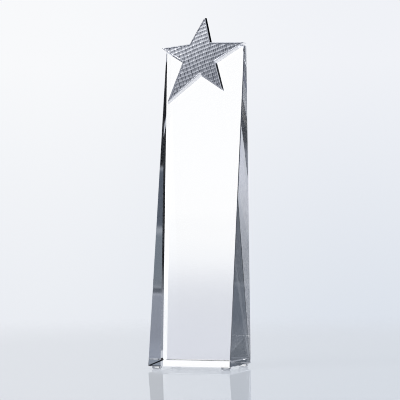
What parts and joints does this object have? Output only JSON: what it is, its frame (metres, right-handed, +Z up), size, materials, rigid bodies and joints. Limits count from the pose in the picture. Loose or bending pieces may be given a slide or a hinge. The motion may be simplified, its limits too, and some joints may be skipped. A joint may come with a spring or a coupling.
{
  "type": "star trophy",
  "caption": "Tall clear crystal wedge award with a bevelled upright back and sloped front, a textured metal star bonded across its top edge, standing on small clear bumper feet.",
  "frame": {"origin": "centre of the base's footprint, on the plane that the undersides of the feet rest on", "axes": "+Z up the tower, -Y out of the sloped front that carries the star, +X to the right seen from the front"},
  "size_m": [0.0652, 0.0434, 0.2506],
  "materials": {
    "optical_crystal": "polished clear optical crystal",
    "star_chrome": "polished rim, fine dimpled field",
    "bond_adhesive": "clear cured adhesive",
    "foot_elastomer": "clear soft polyurethane",
    "foot_adhesive": "clear pressure-sensitive adhesive"
  },
  "bodies": {
    "root": {"crystal_tower": "optical_crystal", "star_casting": "star_chrome", "star_adhesive": "bond_adhesive", "foot_front_left": "foot_elastomer", "foot_front_right": "foot_elastomer", "foot_rear_left": "foot_elastomer", "foot_rear_right": "foot_elastomer", "foot_adhesive_front_left": "foot_adhesive", "foot_adhesive_front_right": "foot_adhesive", "foot_adhesive_rear_left": "foot_adhesive", "foot_adhesive_rear_right": "foot_adhesive"}
  },
  "joints": []
}
